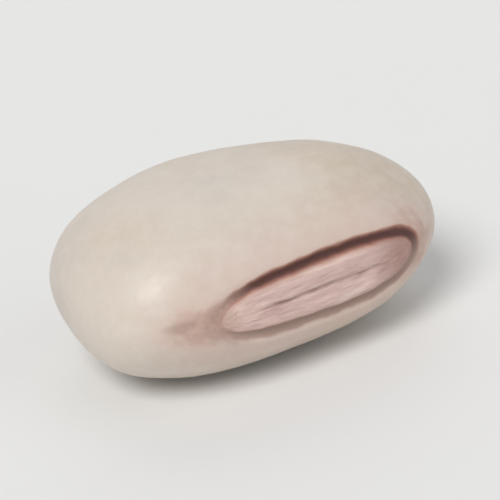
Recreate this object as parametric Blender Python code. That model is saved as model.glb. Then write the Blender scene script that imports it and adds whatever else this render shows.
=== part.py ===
"""A white-coated velvet bean seed, ripe and dry, as one solid.

It lies on its flatter cheek. +X runs along its length towards the narrower end, -Y is the edge that carries the
hilum, and +Z is up through the cheeks. The origin is under the middle of its bounding box, on the surface that it
rests on. The functions work in millimetres, and the mesh is made in metres.

The surface is laid out in rings and spokes around the hilum. The rings are ellipses that share the hilum's two end
points, so the innermost ring closes on the hilum's slit, the next ones follow the aril's lips and the groove, and the
last one closes on a line along the seed's back.
"""

import math

import bmesh
import bpy
import numpy as np

# ---- driving dimensions, in millimetres ----
LENGTH = 16.2  # along X, end to end
WIDTH = 11.2  # along Y, from the aril's lips to the back
THICKNESS = 7.7  # along Z, from the rest facet to the top of the upper cheek
REST_FACET_DEPTH = 0.24  # how much the lower cheek is flattened where it rests
REST_SOFTNESS = 0.08  # how far above and below that level it runs into the flat

SLIT_HALF_LENGTH = 3.72  # from the hilum's middle to each end of its slit
HILUM_HALF_WIDTH = 1.16  # from its middle to the middle of the dark groove
HILUM_BLUNT = 0.30  # how much rounder its ends are than an ellipse's
HILUM_BROADER = 0.145  # how much broader it is towards its +X end
HILUM_X = 0.85  # middle of the hilum along X
SHOULDER_HEIGHT = 0.20  # the blunt edge of the coat around it
GROOVE_DEPTH = 0.13  # the furrow between the coat and the aril
RIM_HEIGHT = 0.10  # the crest of the rim aril
INNER_HEIGHT = 0.06  # the aril between its crests
SLIT_DEPTH = 0.07  # the crease along its middle
KNOB_HEIGHT = 0.06  # its pale swelling at the -X end

# ---- form of the body, as shares of its half sides ----
SQUARE_PLAN = 0.070  # how oblong it is from above
SQUARE_SIDE = 0.048  # how oblong it is from the hilum's side
SQUARE_SKEW = 0.28  # both are more so at the broad -X end
SQUARE_SECTION = 0.018  # fullness of the cross-section
TAPER_WIDTH = 0.082  # the +X end is narrower
TAPER_THICKNESS = 0.105  # and thinner
BEND = 0.112  # the hilum edge is straighter than the back
KEEL = 0.030  # the hilum edge is a little thicker than the back

# ---- mesh ----
SPOKES = 64
FINE_STEP = 0.125  # between rings across the hilum, as a share of its half width
FINE_RINGS = 16
COARSE_RINGS = 19
MM = 0.001

SLIT = SLIT_HALF_LENGTH / (LENGTH / 2)  # as a share of the half length
OUTLINE = math.asin(HILUM_HALF_WIDTH / (THICKNESS / 2))  # ring angle of the groove


def bell(x, centre, half):
    return np.exp(-(((x - centre) / half) ** 2))


def step(x, low, high):
    t = np.clip((x - low) / (high - low), 0, 1)
    return t * t * (3 - 2 * t)


def ring_places(fine_step, fine, coarse):
    """Ring angles from the slit to the back, as multiples of the groove's ring angle: even across the hilum, then widening and, at the back, even again."""
    inner = np.arange(fine + 1) * fine_step
    last = math.pi / OUTLINE
    t = np.arange(1, coarse + 1) / coarse
    left = last - inner[-1]
    first = min(fine_step * 1.15 * coarse / left, 0.9)
    # a cubic that leaves the hilum at its fine step and reaches the back with a level one
    eased = first * t + (1.25 - first) * (3 * t**2 - 2 * t**3) - 0.25 * t**3
    return np.concatenate([inner, inner[-1] + left * eased / eased[-1]])


def directions(ring, spoke):
    """Unit directions of the rings (as multiples of the groove's) and spokes (angles)."""
    # The hilum is blunt at its ends and a little broader towards +X, which fades out over the body
    lengthwise = np.cos(spoke)
    wider = HILUM_BROADER * lengthwise + HILUM_BLUNT * lengthwise**2 * (
        1 + lengthwise**2 * np.sin(spoke) ** 2
    )
    theta = ring * OUTLINE * (1 + wider * np.exp(-((ring / 2.6) ** 2)))
    theta = np.clip(theta, 0, math.pi)
    c, s = np.cos(theta), np.sin(theta)
    n = np.stack(
        [
            np.cos(spoke) * np.sqrt(np.clip(1 - (1 - SLIT**2) * c**2, 0, 1)),
            -c * np.sqrt(1 - (SLIT * np.cos(spoke)) ** 2),
            s * np.sin(spoke),
        ],
        axis=-1,
    )
    n[..., 0] += HILUM_X / (LENGTH / 2) * (1 - n[..., 0] ** 2)
    return n / np.linalg.norm(n, axis=-1, keepdims=True)


def plain_body(n):
    """The smooth bean without its hilum, for unit directions n."""
    n = n / np.linalg.norm(n, axis=-1, keepdims=True)
    nx, ny, nz = n[..., 0], n[..., 1], n[..., 2]
    skew = 1 - SQUARE_SKEW * nx
    full = 1 + 4 * (
        SQUARE_PLAN * skew * nx**2 * ny**2
        + SQUARE_SIDE * skew * nx**2 * nz**2
        + SQUARE_SECTION * ny**2 * nz**2
    )
    x = LENGTH / 2 * full * nx
    y = WIDTH / 2 * full * ny * (1 - TAPER_WIDTH * nx) - BEND * WIDTH / 2 * nx**2
    z = (THICKNESS + REST_FACET_DEPTH) / 2 * full * nz
    z = z * (1 - TAPER_THICKNESS * nx) * (1 - KEEL * ny)
    # Slow swells and hollows of a dried coat, and a shallow dimple in the upper cheek
    swell = (
        0.035 * np.sin(0.62 * x + 0.35 * y + 0.9)
        + 0.030 * np.sin(-0.41 * x + 0.83 * y + 0.55 * z + 2.1)
        + 0.022 * np.sin(1.05 * x - 0.52 * y - 0.8 * z + 0.4)
    )
    hollow = np.exp(-(((x + 1.6) / 2.6) ** 2) - (((y - 0.9) / 1.7) ** 2))
    swell = swell - 0.11 * hollow * np.clip(nz, 0, None)
    return np.stack([x, y, z], axis=-1) + n * swell[..., None]


def facing(n):
    """Outward normals of the plain body, from its slopes along two tangents."""
    other = np.where(np.abs(n[..., 2:3]) < 0.8, [0.0, 0.0, 1.0], [1.0, 0.0, 0.0])
    u = np.cross(other, n)
    u /= np.linalg.norm(u, axis=-1, keepdims=True)
    v = np.cross(n, u)
    e = 1e-3
    du = plain_body(n + e * u) - plain_body(n - e * u)
    dv = plain_body(n + e * v) - plain_body(n - e * v)
    out = np.cross(du, dv)
    return out / np.linalg.norm(out, axis=-1, keepdims=True)


def hilum_relief(ring, along, across):
    """How far the hilum and its rim aril stand out of the plain body, from the ring and the place from the hilum's middle."""
    arch = 1 - 0.034 * np.minimum(along**2, 24)
    ends = step(abs(along), 2.8, 4.7)
    shoulder = SHOULDER_HEIGHT * step(ring, 0.7, 1.4) * bell(np.maximum(ring, 1.3), 1.3, 1.5)
    shoulder = shoulder * (1 - 0.5 * ends)
    groove = -GROOVE_DEPTH * bell(ring, 1.0, 0.17) * (1 - 0.5 * ends)
    rim = RIM_HEIGHT * bell(ring, 0.66, 0.24) * arch
    inner = INNER_HEIGHT * (1 - step(ring, 0.35, 0.95)) * arch
    slit = -SLIT_DEPTH * bell(ring, 0, 0.11) * (1 - 0.8 * step(abs(along + 0.2), 2.2, 3.5))
    knob = KNOB_HEIGHT * bell(along, -4.4, 0.85) * bell(across, 0.05, 0.62)
    return shoulder + groove + rim + inner + slit + knob * (1 - step(ring, 0.72, 1.0))


def seed_points(ring, spoke):
    n = directions(ring, spoke)
    p = plain_body(n)
    along = p[..., 0] - HILUM_X
    across = p[..., 2] + (THICKNESS + REST_FACET_DEPTH) / 2 - 3.85
    return p + facing(n) * hilum_relief(ring, along, across)[..., None]


def soften(z):
    """Runs the cheek softly into the flat that it rests on, which is cut a little above the lowest level here."""
    low = 0.010
    t = np.clip(z + REST_SOFTNESS, 0, None)
    soft = t**2 / (4 * REST_SOFTNESS) * (1 + low / REST_SOFTNESS) - low
    return np.where(z > REST_SOFTNESS, z, soft)


def to_size(p):
    """Scales the points to the stated sides and puts the origin under the middle, at the level of the rest facet."""
    low, high = p.reshape(-1, 3).min(axis=0), p.reshape(-1, 3).max(axis=0)
    side = np.array([LENGTH, WIDTH, THICKNESS + REST_FACET_DEPTH])
    p = (p - (low + high) / 2) * side / (high - low)
    p[..., 2] = soften(p[..., 2] + side[2] / 2 - REST_FACET_DEPTH)
    return p


def ring_mesh(bm, points):
    """Joins rings of points, which close on a line at the first and the last ring, into quads."""
    rings, spokes = points.shape[:2]
    verts = []
    for k in range(rings):
        row = []
        for j in range(spokes):
            closing = k in (0, rings - 1) and j > spokes // 2
            row.append(row[spokes - j] if closing else bm.verts.new(points[k, j]))
        verts.append(row)
    for k in range(rings - 1):
        for j in range(spokes):
            i = (j + 1) % spokes
            bm.faces.new([verts[k][j], verts[k][i], verts[k + 1][i], verts[k + 1][j]])


def set_down(bm, snap, shortest):
    """Cuts the flat that the seed rests on, at z = 0, after moving points that nearly lie on it, and joins points closer than shortest."""
    for v in bm.verts:
        if abs(v.co.z) < snap:
            v.co.z = 0.0
    bmesh.ops.bisect_plane(
        bm,
        geom=bm.verts[:] + bm.edges[:] + bm.faces[:],
        dist=1e-7,
        plane_co=(0, 0, 0),
        plane_no=(0, 0, 1),
        clear_inner=True,
    )
    bmesh.ops.remove_doubles(bm, verts=bm.verts[:], dist=shortest)
    bmesh.ops.contextual_create(bm, geom=[e for e in bm.edges if e.is_boundary])


def coat_material():
    mat = bpy.data.materials.new("seed_coat")
    mat.use_nodes = True
    shader = mat.node_tree.nodes["Principled BSDF"]
    shader.inputs["Base Color"].default_value = (0.68, 0.60, 0.52, 1.0)
    shader.inputs["Roughness"].default_value = 0.42
    shader.inputs["Metallic"].default_value = 0.0
    mat.diffuse_color = (0.68, 0.60, 0.52, 1.0)
    return mat


def build_seed():
    rings = ring_places(FINE_STEP, FINE_RINGS, COARSE_RINGS)
    spokes = np.arange(SPOKES) * 2 * math.pi / SPOKES
    ring, spoke = np.meshgrid(rings, spokes, indexing="ij")
    bm = bmesh.new()
    ring_mesh(bm, to_size(seed_points(ring, spoke)) * MM)
    set_down(bm, 0.004 * MM, 0.0125 * MM)
    bmesh.ops.recalc_face_normals(bm, faces=bm.faces[:])
    mesh = bpy.data.meshes.new("seed")
    bm.to_mesh(mesh)
    bm.free()
    mesh.shade_smooth()
    mesh.set_sharp_from_angle(angle=math.radians(50))
    mesh.materials.append(coat_material())
    seed = bpy.data.objects.new("seed", mesh)
    bpy.context.scene.collection.objects.link(seed)
    return seed


for old in list(bpy.data.objects):
    bpy.data.objects.remove(old, do_unlink=True)
build_seed()
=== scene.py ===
import math

import bmesh
import bpy
import numpy as np
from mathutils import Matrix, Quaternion, Vector


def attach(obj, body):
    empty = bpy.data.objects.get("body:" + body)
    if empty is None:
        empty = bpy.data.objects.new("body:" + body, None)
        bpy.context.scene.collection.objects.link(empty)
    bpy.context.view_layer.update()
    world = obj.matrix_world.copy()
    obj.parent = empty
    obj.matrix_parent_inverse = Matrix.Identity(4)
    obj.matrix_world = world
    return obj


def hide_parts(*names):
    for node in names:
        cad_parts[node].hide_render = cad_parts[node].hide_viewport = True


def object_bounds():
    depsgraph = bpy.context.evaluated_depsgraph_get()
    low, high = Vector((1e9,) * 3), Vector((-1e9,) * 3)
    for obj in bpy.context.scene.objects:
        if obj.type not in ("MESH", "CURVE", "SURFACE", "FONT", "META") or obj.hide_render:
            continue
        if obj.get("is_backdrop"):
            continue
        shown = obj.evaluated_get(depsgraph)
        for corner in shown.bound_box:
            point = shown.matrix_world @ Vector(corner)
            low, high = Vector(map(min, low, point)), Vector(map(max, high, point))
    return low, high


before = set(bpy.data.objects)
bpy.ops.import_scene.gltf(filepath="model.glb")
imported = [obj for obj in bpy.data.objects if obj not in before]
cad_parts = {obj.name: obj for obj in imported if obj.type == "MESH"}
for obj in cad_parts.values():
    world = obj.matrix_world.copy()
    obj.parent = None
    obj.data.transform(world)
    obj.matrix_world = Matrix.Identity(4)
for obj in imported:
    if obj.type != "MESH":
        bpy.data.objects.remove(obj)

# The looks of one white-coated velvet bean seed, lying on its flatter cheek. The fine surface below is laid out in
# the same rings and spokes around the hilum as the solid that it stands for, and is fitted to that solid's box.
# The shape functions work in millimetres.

MM = 0.001
cad_low, cad_high = (np.array(v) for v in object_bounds())

# ---- the seed's shape, as in the solid ----
LENGTH, WIDTH, THICKNESS = 16.2, 11.2, 7.7
REST_FACET_DEPTH = 0.24
REST_SOFTNESS = 0.08
SLIT_HALF_LENGTH = 3.72
HILUM_HALF_WIDTH = 1.16
HILUM_BLUNT = 0.30
HILUM_BROADER = 0.145
HILUM_X = 0.85
SHOULDER_HEIGHT = 0.20
GROOVE_DEPTH = 0.13
RIM_HEIGHT = 0.10
INNER_HEIGHT = 0.06
SLIT_DEPTH = 0.07
KNOB_HEIGHT = 0.06  # the aril's swelling at its -X end
SPOT = (6.35, 0.30)  # a small long dent beyond the knob: how far towards -X, and up
SQUARE_PLAN, SQUARE_SIDE, SQUARE_SKEW, SQUARE_SECTION = 0.070, 0.048, 0.28, 0.018
TAPER_WIDTH, TAPER_THICKNESS, BEND, KEEL = 0.082, 0.105, 0.112, 0.030
SLIT = SLIT_HALF_LENGTH / (LENGTH / 2)
OUTLINE = math.asin(HILUM_HALF_WIDTH / (THICKNESS / 2))

# ---- the fine mesh ----
SPOKES = 400
FINE_STEP, FINE_RINGS, COARSE_RINGS = 0.020, 100, 138


def bell(x, centre, half):
    return np.exp(-(((x - centre) / half) ** 2))


def step(x, low, high):
    t = np.clip((x - low) / (high - low), 0, 1)
    return t * t * (3 - 2 * t)


def ring_places(fine_step, fine, coarse):
    inner = np.arange(fine + 1) * fine_step
    last = math.pi / OUTLINE
    t = np.arange(1, coarse + 1) / coarse
    left = last - inner[-1]
    first = min(fine_step * 1.15 * coarse / left, 0.9)
    eased = first * t + (1.25 - first) * (3 * t**2 - 2 * t**3) - 0.25 * t**3
    return np.concatenate([inner, inner[-1] + left * eased / eased[-1]])


def directions(ring, spoke):
    lengthwise = np.cos(spoke)
    wider = HILUM_BROADER * lengthwise + HILUM_BLUNT * lengthwise**2 * (
        1 + lengthwise**2 * np.sin(spoke) ** 2
    )
    theta = ring * OUTLINE * (1 + wider * np.exp(-((ring / 2.6) ** 2)))
    theta = np.clip(theta, 0, math.pi)
    c, s = np.cos(theta), np.sin(theta)
    n = np.stack(
        [
            np.cos(spoke) * np.sqrt(np.clip(1 - (1 - SLIT**2) * c**2, 0, 1)),
            -c * np.sqrt(1 - (SLIT * np.cos(spoke)) ** 2),
            s * np.sin(spoke),
        ],
        axis=-1,
    )
    n[..., 0] += HILUM_X / (LENGTH / 2) * (1 - n[..., 0] ** 2)
    return n / np.linalg.norm(n, axis=-1, keepdims=True)


def plain_body(n):
    n = n / np.linalg.norm(n, axis=-1, keepdims=True)
    nx, ny, nz = n[..., 0], n[..., 1], n[..., 2]
    skew = 1 - SQUARE_SKEW * nx
    full = 1 + 4 * (
        SQUARE_PLAN * skew * nx**2 * ny**2
        + SQUARE_SIDE * skew * nx**2 * nz**2
        + SQUARE_SECTION * ny**2 * nz**2
    )
    x = LENGTH / 2 * full * nx
    y = WIDTH / 2 * full * ny * (1 - TAPER_WIDTH * nx) - BEND * WIDTH / 2 * nx**2
    z = (THICKNESS + REST_FACET_DEPTH) / 2 * full * nz
    z = z * (1 - TAPER_THICKNESS * nx) * (1 - KEEL * ny)
    swell = (
        0.035 * np.sin(0.62 * x + 0.35 * y + 0.9)
        + 0.030 * np.sin(-0.41 * x + 0.83 * y + 0.55 * z + 2.1)
        + 0.022 * np.sin(1.05 * x - 0.52 * y - 0.8 * z + 0.4)
    )
    hollow = np.exp(-(((x + 1.6) / 2.6) ** 2) - (((y - 0.9) / 1.7) ** 2))
    swell = swell - 0.11 * hollow * np.clip(nz, 0, None)
    return np.stack([x, y, z], axis=-1) + n * swell[..., None]


def facing(n):
    other = np.where(np.abs(n[..., 2:3]) < 0.8, [0.0, 0.0, 1.0], [1.0, 0.0, 0.0])
    u = np.cross(other, n)
    u /= np.linalg.norm(u, axis=-1, keepdims=True)
    v = np.cross(n, u)
    e = 1e-3
    du = plain_body(n + e * u) - plain_body(n - e * u)
    dv = plain_body(n + e * v) - plain_body(n - e * v)
    out = np.cross(du, dv)
    return out / np.linalg.norm(out, axis=-1, keepdims=True)


def waves(p, seed, shortest, longest, count=28):
    """A smooth uneven field with a spread of about 1, made of plane waves between two lengths in millimetres."""
    made = np.random.default_rng(seed)
    way = made.normal(size=(count, 3))
    way /= np.linalg.norm(way, axis=1, keepdims=True)
    way *= 2 * math.pi / np.exp(made.uniform(math.log(shortest), math.log(longest), (count, 1)))
    shift = made.uniform(0, 2 * math.pi, count)
    return sum(np.sin(p @ w + t) for w, t in zip(way, shift)) * math.sqrt(2 / count)


def uneven_ring(ring, p):
    """The ring with its outline made a little uneven, as grown, and left alone at the slit."""
    wave = 0.016 * waves(p, 3, 2.0, 4.5) + 0.005 * waves(p, 4, 0.5, 1.1)
    return ring + wave * step(ring, 0.1, 0.8) * (1 - step(ring, 1.6, 2.6))


def hilum_relief(ring, along, across):
    """How far the hilum and its rim aril stand out of the plain body."""
    arch = 1 - 0.034 * np.minimum(along**2, 24)
    ends = step(abs(along), 2.8, 4.7)
    shoulder = SHOULDER_HEIGHT * step(ring, 0.7, 1.4) * bell(np.maximum(ring, 1.3), 1.3, 1.5)
    shoulder = shoulder * (1 - 0.5 * ends)
    groove = -GROOVE_DEPTH * bell(ring, 1.0, 0.17) * (1 - 0.5 * ends)
    rim = RIM_HEIGHT * bell(ring, 0.66, 0.24) * arch
    inner = INNER_HEIGHT * (1 - step(ring, 0.35, 0.95)) * arch
    slit = -SLIT_DEPTH * bell(ring, 0, 0.11) * (1 - 0.8 * step(abs(along + 0.2), 2.2, 3.5))
    knob = KNOB_HEIGHT * bell(along, -4.4, 0.85) * bell(across, 0.05, 0.62)
    return shoulder + groove + rim + inner + slit + knob * (1 - step(ring, 0.72, 1.0))


def seed_points(ring, spoke):
    """The fine surface, and what its material is painted by."""
    n = directions(ring, spoke)
    p = plain_body(n)
    out = facing(n)
    along = p[..., 0] - HILUM_X
    across = p[..., 2] + (THICKNESS + REST_FACET_DEPTH) / 2 - 3.85
    uneven = uneven_ring(ring, p)
    relief = hilum_relief(uneven, along, across)

    # Fine creases that follow the aril's rim, a crimped crest, and an inside that isn't quite even
    in_hilum = 1 - step(uneven, 0.80, 0.95)
    clear = step(np.hypot(ring, 0.55 * np.sin(spoke)), 0.10, 0.42)
    round_rim = np.stack(
        [0.8 * np.cos(spoke), 0.8 * np.sin(spoke), ring * HILUM_HALF_WIDTH], axis=-1
    )
    relief += in_hilum * (
        0.0045 * clear * waves(round_rim, 11, 0.09, 0.22, 40)
        + 0.0080 * clear * waves(round_rim, 12, 0.22, 0.55)
        + 0.010 * waves(p, 13, 0.8, 1.8)
    )
    relief += 0.008 * bell(uneven, 0.72, 0.16) * waves(p, 14, 0.4, 1.0)

    # The coat: slow swells, a faint orange peel and a few soft dents
    coat = step(uneven, 1.10, 1.9)
    relief += coat * (
        0.010 * waves(p, 21, 1.6, 4.5) + 0.0016 * waves(p, 22, 0.35, 0.9, 40)
    )
    spot = np.exp(
        -(((along + SPOT[0]) / 0.72) ** 2) - ((across - SPOT[1]) / 0.25) ** 2
    ) * (p[..., 1] < 0)
    relief -= 0.030 * spot
    return p + out * relief[..., None], uneven, along, across, spot


def soften(z):
    """Runs the cheek softly into the flat that it rests on, which is cut a little above the lowest level here."""
    low = 0.010
    t = np.clip(z + REST_SOFTNESS, 0, None)
    soft = t**2 / (4 * REST_SOFTNESS) * (1 + low / REST_SOFTNESS) - low
    return np.where(z > REST_SOFTNESS, z, soft)


def fit_to_box(p):
    """Scales the points to the solid's box, with what is under the rest face still below z = 0."""
    low, high = p.reshape(-1, 3).min(axis=0), p.reshape(-1, 3).max(axis=0)
    to_low, to_high = cad_low / MM, cad_high / MM
    to_low[2] -= REST_FACET_DEPTH
    p = to_low + (p - low) * (to_high - to_low) / (high - low)
    p[..., 2] = soften(p[..., 2])
    return p


def add_texture_map(mesh):
    """Unrolls the surface around the hilum in one island, and the seed's back in another, so that no seam comes near the hilum or the rest face."""
    half = np.array([LENGTH, WIDTH, THICKNESS]) / 2
    p = np.empty(len(mesh.vertices) * 3)
    mesh.vertices.foreach_get("co", p)
    d = (p.reshape(-1, 3) / MM - [0, 0, THICKNESS / 2]) / half
    corner = np.empty(len(mesh.loops), dtype=np.int32)
    mesh.loops.foreach_get("vertex_index", corner)
    start = np.empty(len(mesh.polygons), dtype=np.int32)
    mesh.polygons.foreach_get("loop_start", start)
    total = np.diff(np.append(start, len(corner)))
    d = d[corner]
    back = np.repeat(np.add.reduceat(d[:, 1], start) / total > 0.32, total)
    facing_way = np.where(back, -1, 1)
    side = np.hypot(d[:, 0], d[:, 2])
    angle = np.arctan2(side, -d[:, 1] * facing_way) / (math.pi / 2)
    scale = np.where(back, 0.030, 0.034) * angle / np.maximum(side, 1e-9)
    # 10.9 and 7.5 mm are the quarter rounds over the seed's ends and over its cheeks
    u = 0.5 + 10.9 * scale * d[:, 0] * facing_way
    v = np.where(back, 0.806, 0.317) + 7.5 * scale * d[:, 2]
    layer = mesh.uv_layers.new(name="OFBake")
    layer.data.foreach_set("uv", np.stack([u, v], axis=1).reshape(-1).astype(np.float32))
    mesh.uv_layers.active = layer


def make_seed():
    ring, spoke = np.meshgrid(
        ring_places(FINE_STEP, FINE_RINGS, COARSE_RINGS),
        np.arange(SPOKES) * 2 * math.pi / SPOKES,
        indexing="ij",
    )
    p, uneven, along, across, spot = seed_points(ring, spoke)
    along_rim, across_rim = np.cos(spoke), np.sin(spoke)
    p = fit_to_box(p) * MM
    rings = len(ring)
    # the first and the last ring close on a line, where spoke j meets spoke SPOKES - j
    index = np.arange(rings * SPOKES).reshape(rings, SPOKES)
    for k in (0, rings - 1):
        index[k, SPOKES // 2 + 1 :] = index[k, 1 : SPOKES // 2][::-1]
    faces = np.stack(
        [
            index[:-1],
            np.roll(index, -1, axis=1)[:-1],
            np.roll(index, -1, axis=1)[1:],
            index[1:],
        ],
        axis=-1,
    ).reshape(-1, 4)
    used, slim = np.unique(faces, return_inverse=True)
    slim = slim.reshape(-1, 4)
    mesh = bpy.data.meshes.new("bean_seed")
    mesh.from_pydata(p.reshape(-1, 3)[used].tolist(), [], slim.tolist())
    for name, values in (
        ("ring", uneven),
        ("along", along),
        ("across", across),
        ("spot", spot),
        ("along_rim", along_rim),
        ("across_rim", across_rim),
    ):
        made = mesh.attributes.new(name, "FLOAT", "POINT")
        made.data.foreach_set("value", values.reshape(-1)[used].astype(np.float32))

    bm = bmesh.new()
    bm.from_mesh(mesh)
    for v in bm.verts:
        if abs(v.co.z) < 0.0003 * MM:
            v.co.z = 0.0
    bmesh.ops.bisect_plane(
        bm,
        geom=bm.verts[:] + bm.edges[:] + bm.faces[:],
        dist=1e-8,
        plane_co=(0, 0, 0),
        plane_no=(0, 0, 1),
        clear_inner=True,
    )
    bmesh.ops.remove_doubles(bm, verts=bm.verts[:], dist=0.0005 * MM)
    bmesh.ops.contextual_create(bm, geom=[e for e in bm.edges if e.is_boundary])
    bmesh.ops.recalc_face_normals(bm, faces=bm.faces[:])
    bm.to_mesh(mesh)
    bm.free()
    mesh.shade_smooth()
    mesh.set_sharp_from_angle(angle=math.radians(60))
    add_texture_map(mesh)
    seed = bpy.data.objects.new("bean_seed", mesh)
    bpy.context.scene.collection.objects.link(seed)
    return seed


# ---- materials ----
class Nodes:
    """Short ways to add nodes to one material."""

    def __init__(self, name):
        self.mat = bpy.data.materials.new(name)
        self.mat.use_nodes = True
        self.tree = self.mat.node_tree
        self.shader = self.tree.nodes["Principled BSDF"]

    def put(self, socket, value):
        if isinstance(value, bpy.types.NodeSocket):
            self.tree.links.new(value, socket)
        else:
            socket.default_value = value

    def attribute(self, name):
        n = self.tree.nodes.new("ShaderNodeAttribute")
        n.attribute_name = name
        return n.outputs["Fac"]

    def place(self, scale=(1000, 1000, 1000), shift=(0, 0, 0)):
        """Object coordinates in millimetres, stretched by scale / 1000."""
        if not hasattr(self, "object"):
            self.object = self.tree.nodes.new("ShaderNodeTexCoord").outputs["Object"]
        n = self.tree.nodes.new("ShaderNodeMapping")
        self.put(n.inputs["Vector"], self.object)
        n.inputs["Scale"].default_value = scale
        n.inputs["Location"].default_value = shift
        return n.outputs["Vector"]

    def around(self, x, y, out, turn, step_out, shift=0.0):
        """Coordinates that follow the hilum's rim: turn noise units round it, and step_out for each ring."""
        n = self.tree.nodes.new("ShaderNodeCombineXYZ")
        self.put(n.inputs[0], self.sum("MULTIPLY_ADD", x, turn, shift))
        self.put(n.inputs[1], self.sum("MULTIPLY", y, turn))
        self.put(n.inputs[2], self.sum("MULTIPLY", out, step_out))
        return n.outputs[0]

    def noise(self, vector, scale, detail=2.0, rough=0.5, warp=0.0):
        n = self.tree.nodes.new("ShaderNodeTexNoise")
        self.put(n.inputs["Vector"], vector)
        n.inputs["Scale"].default_value = scale
        n.inputs["Detail"].default_value = detail
        n.inputs["Roughness"].default_value = rough
        n.inputs["Distortion"].default_value = warp
        return n.outputs["Fac"]

    def spots(self, vector, scale, random=1.0):
        n = self.tree.nodes.new("ShaderNodeTexVoronoi")
        self.put(n.inputs["Vector"], vector)
        n.inputs["Scale"].default_value = scale
        n.inputs["Randomness"].default_value = random
        return n.outputs["Distance"], n.outputs["Color"]

    def sum(self, operation, a, b=0.0, c=None, clamp=False):
        n = self.tree.nodes.new("ShaderNodeMath")
        n.operation, n.use_clamp = operation, clamp
        self.put(n.inputs[0], a)
        self.put(n.inputs[1], b)
        if c is not None:
            self.put(n.inputs[2], c)
        return n.outputs[0]

    def span(self, value, low, high, to_low=0.0, to_high=1.0):
        """A smooth change from to_low to to_high as value goes from low to high."""
        n = self.tree.nodes.new("ShaderNodeMapRange")
        n.interpolation_type = "SMOOTHSTEP"
        self.put(n.inputs["Value"], value)
        for key, v in (("From Min", low), ("From Max", high), ("To Min", to_low), ("To Max", to_high)):
            n.inputs[key].default_value = v
        return n.outputs["Result"]

    def ramp(self, value, stops):
        n = self.tree.nodes.new("ShaderNodeValToRGB")
        self.put(n.inputs["Fac"], value)
        e = n.color_ramp.elements
        while len(e) > 1:
            e.remove(e[-1])
        e[0].position, e[0].color = stops[0][0], colour(stops[0][1])
        for at, c in stops[1:]:
            e.new(at).color = colour(c)
        return n.outputs["Color"]

    def mix(self, share, a, b, blend="MIX"):
        n = self.tree.nodes.new("ShaderNodeMix")
        n.data_type, n.blend_type = "RGBA", blend
        self.put(n.inputs["Factor"], share)
        self.put(n.inputs[6], colour(a) if isinstance(a, tuple) else a)
        self.put(n.inputs[7], colour(b) if isinstance(b, tuple) else b)
        return n.outputs[2]

    def join(self, share, a, b):
        n = self.tree.nodes.new("ShaderNodeMix")
        n.data_type = "FLOAT"
        self.put(n.inputs["Factor"], share)
        self.put(n.inputs[2], a)
        self.put(n.inputs[3], b)
        return n.outputs[0]

    def bump(self, height, distance, strength=1.0, normal=None):
        n = self.tree.nodes.new("ShaderNodeBump")
        n.inputs["Distance"].default_value = distance
        n.inputs["Strength"].default_value = strength
        self.put(n.inputs["Height"], height)
        if normal is not None:
            self.put(n.inputs["Normal"], normal)
        return n.outputs["Normal"]


def colour(c):
    """A colour given in 0 to 255 screen values, as linear light."""
    if len(c) == 4:
        return c
    v = np.array(c) / 255
    v = np.where(v <= 0.04045, v / 12.92, ((v + 0.055) / 1.055) ** 2.4)
    return (*v.tolist(), 1.0)


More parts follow.
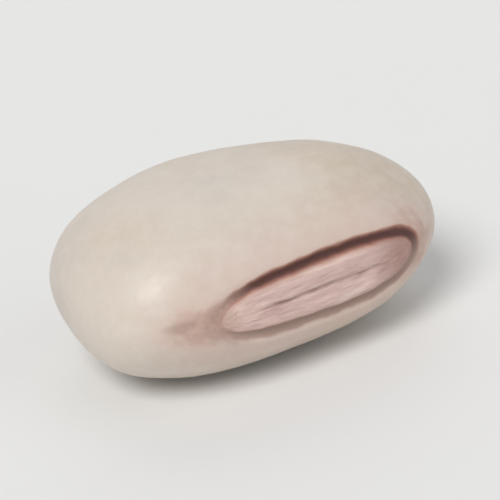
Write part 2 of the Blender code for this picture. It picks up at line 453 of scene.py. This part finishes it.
def seed_material():
    k = Nodes("seed_coat_and_hilum")
    ring, along, across, spot, along_rim, across_rim = (
        k.attribute(n)
        for n in ("ring", "along", "across", "spot", "along_rim", "across_rim")
    )
    mm = k.place()

    # The coat: ivory, with slow warm and greyish clouds, and a soft mottle
    clouds = k.sum("MULTIPLY_ADD", along, 0.018, k.noise(mm, 0.15, 2.0, 0.45))
    grey_clouds = k.noise(k.place(shift=(11, 5, 3)), 0.20, 2.0, 0.5)
    mottle = k.noise(k.place(shift=(3, 8, 1)), 1.7, 4.0, 0.6)
    coat = k.mix(k.span(clouds, 0.34, 0.68, 0, 0.8), (209, 198, 186), (198, 182, 162))
    coat = k.mix(k.span(grey_clouds, 0.48, 0.72, 0, 0.5), coat, (190, 182, 175))
    coat = k.mix(k.span(mottle, 0.35, 0.75, 0, 0.35), coat, (218, 209, 199))
    fleck = k.noise(k.place(shift=(6, 2, 7)), 7.0, 2.0, 0.6)
    coat = k.mix(k.span(fleck, 0.58, 0.78, 0, 0.22), coat, (192, 173, 150))

    # Rare small specks
    far, tone = k.spots(k.place(shift=(2.2, 7.1, 4.4)), 0.50)
    speck = k.span(k.sum("ADD", far, k.sum("MULTIPLY", fleck, 0.07)), 0.075, 0.115, 1, 0)
    split = k.tree.nodes.new("ShaderNodeSeparateColor")
    k.put(split.inputs[0], tone)
    speck = k.sum("MULTIPLY", speck, k.span(split.outputs[0], 0.60, 0.66))
    coat = k.mix(k.sum("MULTIPLY", speck, 0.5), coat, (150, 120, 94))

    # Around the hilum the coat turns a faint pink, and tan past the knob
    ragged = k.span(mottle, 0.3, 0.7, -0.25, 0.25)
    halo = k.span(k.sum("ADD", ring, ragged), 1.05, 3.2, 1, 0)
    coat = k.mix(k.sum("MULTIPLY", halo, 0.70), coat, (205, 180, 171))
    past = k.sum("POWER", k.sum("DIVIDE", k.sum("ADD", along, 5.4), 1.5), 2.0)
    past = k.sum("ADD", past, k.sum("POWER", k.sum("DIVIDE", k.sum("SUBTRACT", across, 0.18), 0.80), 2.0))
    past = k.sum("ADD", past, k.span(ring, 4.0, 5.0, 0, 2))
    glow = k.span(k.sum("ADD", past, ragged), 0.1, 2.2, 1, 0)
    coat = k.mix(k.sum("MULTIPLY", glow, 0.55), coat, (205, 176, 163))
    coat = k.mix(k.span(k.sum("ADD", spot, k.sum("MULTIPLY", ragged, 0.5)), 0.10, 0.9, 0, 0.60), coat, (158, 137, 124))
    # and beyond the +X end a warm brown, partly the coat's own tone and partly painted shade
    beyond = k.sum("MULTIPLY", k.span(along, 3.2, 4.9), k.span(k.sum("ADD", ring, ragged), 1.05, 1.9, 1, 0))
    coat = k.mix(k.sum("MULTIPLY", beyond, 0.75), coat, (178, 144, 130))

    # The hilum, from its slit outwards
    wobble = k.span(k.noise(mm, 1.1, 2.0, 0.5), 0.3, 0.7, -0.022, 0.022)
    # the groove is narrower and paler at the knob's end, and a little so below
    fades = k.span(k.sum("ADD", along, k.sum("MULTIPLY", ragged, 0.8)), -4.9, -2.7, 1, 0)
    wide = k.sum("ADD", ring, wobble)
    below = k.span(across, -0.60, 0.75, 1, 0)
    narrow = k.sum("MULTIPLY_ADD", fades, 0.3, k.sum("MULTIPLY_ADD", below, 0.28, 0.86))
    edge = k.sum("MULTIPLY", k.sum("SUBTRACT", wide, 1.0), narrow)
    edge = k.join(k.span(wide, 0.55, 0.80), wide, k.sum("ADD", edge, 1.0))
    bands = k.ramp(
        k.sum("DIVIDE", edge, 2.0),
        [
            (0.000, (140, 112, 105)),
            (0.020, (166, 137, 130)),
            (0.050, (200, 171, 164)),
            (0.200, (208, 180, 173)),
            (0.330, (212, 185, 177)),
            (0.385, (200, 166, 152)),
            (0.420, (158, 110, 98)),
            (0.452, (104, 66, 58)),
            (0.475, (82, 49, 43)),
            (0.525, (84, 50, 44)),
            (0.548, (112, 72, 62)),
            (0.575, (162, 118, 104)),
            (0.605, (206, 176, 160)),
        ],
    )
    # the slit pales towards its ends and here and there between
    inner = k.span(ring, 0.76, 0.86, 1, 0)
    ends = k.span(k.sum("ABSOLUTE", k.sum("ADD", along, 0.25)), 2.4, 3.6, 0.0, 0.8)
    gaps = k.span(k.noise(k.place(shift=(2, 6, 5)), 1.1, 2.0, 0.5), 0.42, 0.62, 0.0, 0.5)
    lost = k.sum("MULTIPLY", k.sum("MAXIMUM", ends, gaps), k.span(ring, 0.08, 0.14, 1, 0))
    bands = k.mix(lost, bands, (200, 171, 164))
    # lengthwise streaks, darker mauve and paler
    streaks = k.noise(k.around(along_rim, across_rim, ring, 2.2, 6.5), 1.0, 4.0, 0.62, 0.25)
    dark = k.sum("MULTIPLY", k.span(streaks, 0.46, 0.72, 0, 0.55), inner)
    bands = k.mix(dark, bands, (166, 135, 131))
    pale = k.noise(k.around(along_rim, across_rim, ring, 1.8, 5.0, 9.0), 1.0, 3.0, 0.5)
    pale = k.sum("MULTIPLY", k.span(pale, 0.50, 0.72, 0, 0.65), inner)
    bands = k.mix(pale, bands, (228, 207, 198))
    outer = k.span(edge, 0.80, 0.88)
    faded = k.sum("MULTIPLY", k.sum("MULTIPLY", k.sum("POWER", fades, 2.0), outer), 0.88)
    bands = k.mix(faded, bands, (176, 146, 134))
    # and paler below
    faint = k.sum("MULTIPLY", below, k.span(edge, 0.74, 0.87))
    bands = k.mix(k.sum("MULTIPLY", faint, 0.78), bands, (168, 144, 133))
    # the aril is painted darker and browner towards its +X end, partly its own tone and partly painted shade
    bands = k.mix(k.sum("MULTIPLY", k.span(along, 1.6, 3.7, 0, 0.85), inner), bands, (162, 127, 118))

    # The knob is paler, and runs out as a wedge towards the middle
    t = k.sum("DIVIDE", k.sum("ADD", along, 5.0), 2.6)
    half = k.sum("MULTIPLY", k.sum("MAXIMUM", k.sum("SUBTRACT", 1.10, t), 0.02), 0.72)
    off = k.sum("ABSOLUTE", k.sum("SUBTRACT", across, k.sum("MULTIPLY", t, 0.14)))
    off = k.sum("ADD", k.sum("DIVIDE", off, half), k.span(streaks, 0.3, 0.7, -0.35, 0.35))
    wedge = k.sum("MULTIPLY", k.span(off, 0.5, 1.15, 1, 0), k.span(t, 0.55, 1.05, 1, 0))
    wedge = k.sum("MULTIPLY", wedge, inner)
    bands = k.mix(k.sum("MULTIPLY", wedge, 0.70), bands, (219, 192, 181))

    # its edge is crisp, but blurs into the coat past the knob
    soft = k.span(k.sum("ADD", wide, k.sum("MULTIPLY", ragged, 0.35)), 0.98, 1.50, 1, 0)
    in_hilum = k.join(fades, k.span(edge, 1.14, 1.26, 1, 0), soft)
    skin = k.mix(in_hilum, coat, bands)
    # a soft brown patch lies over that end
    patch = k.span(k.sum("ADD", past, k.sum("MULTIPLY", ragged, 1.4)), 0.15, 1.25, 1, 0)
    tone = k.mix(k.span(mottle, 0.35, 0.65), (188, 160, 147), (168, 137, 125))
    skin = k.mix(k.sum("MULTIPLY", patch, 0.74), skin, tone)
    k.put(k.shader.inputs["Base Color"], skin)

    # Satin coat, drier hilum
    rough = k.span(k.noise(k.place(shift=(9, 1, 6)), 0.9, 3.0, 0.6), 0.3, 0.7, 0.36, 0.45)
    k.put(k.shader.inputs["Roughness"], k.join(in_hilum, rough, 0.60))
    k.shader.inputs["Specular IOR Level"].default_value = 0.42

    # Pinprick pits in the coat, fibres in the hilum
    fine = k.noise(mm, 9.0, 3.0, 0.6)
    height = k.sum("SUBTRACT", k.sum("MULTIPLY", fine, 0.5), k.sum("MULTIPLY", speck, 0.8))
    normal = k.bump(height, 0.000006, 1.0)
    fibre = k.sum("MULTIPLY", k.sum("ADD", streaks, k.sum("MULTIPLY", fine, 0.5)), in_hilum)
    k.put(k.shader.inputs["Normal"], k.bump(fibre, 0.00003, 1.0, normal))
    return k.mat


def floor_material():
    k = Nodes("studio_floor")
    cloud = k.noise(k.place(scale=(30, 30, 30)), 1.0, 2.0)
    k.put(k.shader.inputs["Base Color"], k.mix(cloud, (231, 231, 230), (233, 233, 232)))
    k.shader.inputs["Roughness"].default_value = 0.7
    k.shader.inputs["Specular IOR Level"].default_value = 0.2
    return k.mat


seed = make_seed()
seed.data.materials.append(seed_material())
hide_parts("seed")
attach(seed, "root")

# ---- floor, light and camera ----
bpy.ops.mesh.primitive_circle_add(vertices=128, radius=2.0, fill_type="NGON")
floor = bpy.context.object
floor.name = "studio_floor"
floor.data.materials.append(floor_material())
floor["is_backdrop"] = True

world = bpy.data.worlds.new("studio")
bpy.context.scene.world = world
world.use_nodes = True
tree = world.node_tree
sky = tree.nodes["Background"]
where = tree.nodes.new("ShaderNodeTexCoord")
parts = tree.nodes.new("ShaderNodeSeparateXYZ")
tree.links.new(where.outputs["Generated"], parts.inputs[0])
rise = tree.nodes.new("ShaderNodeMapRange")
rise.interpolation_type = "SMOOTHSTEP"
tree.links.new(parts.outputs["Z"], rise.inputs["Value"])
rise.inputs["From Min"].default_value = 0.0
rise.inputs["From Max"].default_value = 0.5
blend = tree.nodes.new("ShaderNodeMix")
blend.data_type = "RGBA"
tree.links.new(rise.outputs["Result"], blend.inputs["Factor"])
# near the horizon the sky is as bright as the floor, so that the two meet without a line
blend.inputs[6].default_value = (0.785, 0.785, 0.78, 1)
blend.inputs[7].default_value = (0.33, 0.335, 0.345, 1)
tree.links.new(blend.outputs[2], sky.inputs["Color"])


def soft_light(name, azimuth, elevation, spread, strength, tint=(1, 1, 1)):
    """A far, wide lamp, so that the floor is evenly lit. The angles are in degrees, and azimuth 0 is in front."""
    data = bpy.data.lights.new(name, "SUN")
    data.angle, data.energy, data.color = math.radians(spread), strength, tint
    light = bpy.data.objects.new(name, data)
    bpy.context.scene.collection.objects.link(light)
    a, e = math.radians(azimuth), math.radians(elevation)
    at = Vector((math.sin(a) * math.cos(e), -math.cos(a) * math.cos(e), math.sin(e)))
    light.location = at * 0.3
    light.rotation_euler = at.to_track_quat("Z", "Y").to_euler()
    return light


soft_light("key", -52, 48, 30, 1.95, (1.0, 0.987, 0.968))
soft_light("fill", 48, 30, 60, 0.40)
soft_light("back", 155, 40, 50, 0.45)

AZIMUTH, ELEVATION, ROLL = -26.3, 24.5, 7.2
cam_data = bpy.data.cameras.new("camera")
cam_data.lens, cam_data.sensor_width = 180.0, 36.0
cam_data.clip_start, cam_data.clip_end = 0.005, 10.0
cam = bpy.data.objects.new("camera", cam_data)
bpy.context.scene.collection.objects.link(cam)
bpy.context.scene.camera = cam
a, e, r = (math.radians(v) for v in (AZIMUTH, ELEVATION, ROLL))
back = Vector((math.sin(a) * math.cos(e), -math.cos(a) * math.cos(e), math.sin(e)))
target = Vector((0.0003, 0.0, 0.0036))
width_seen = 0.0205
cam.location = target + back * (width_seen / (cam_data.sensor_width / cam_data.lens))
cam.rotation_mode = "QUATERNION"
cam.rotation_quaternion = (-back).to_track_quat("-Z", "Y") @ Quaternion((0, 0, 1), -r)

view = bpy.context.scene.view_settings
view.view_transform = "Standard"
view.look = "None"
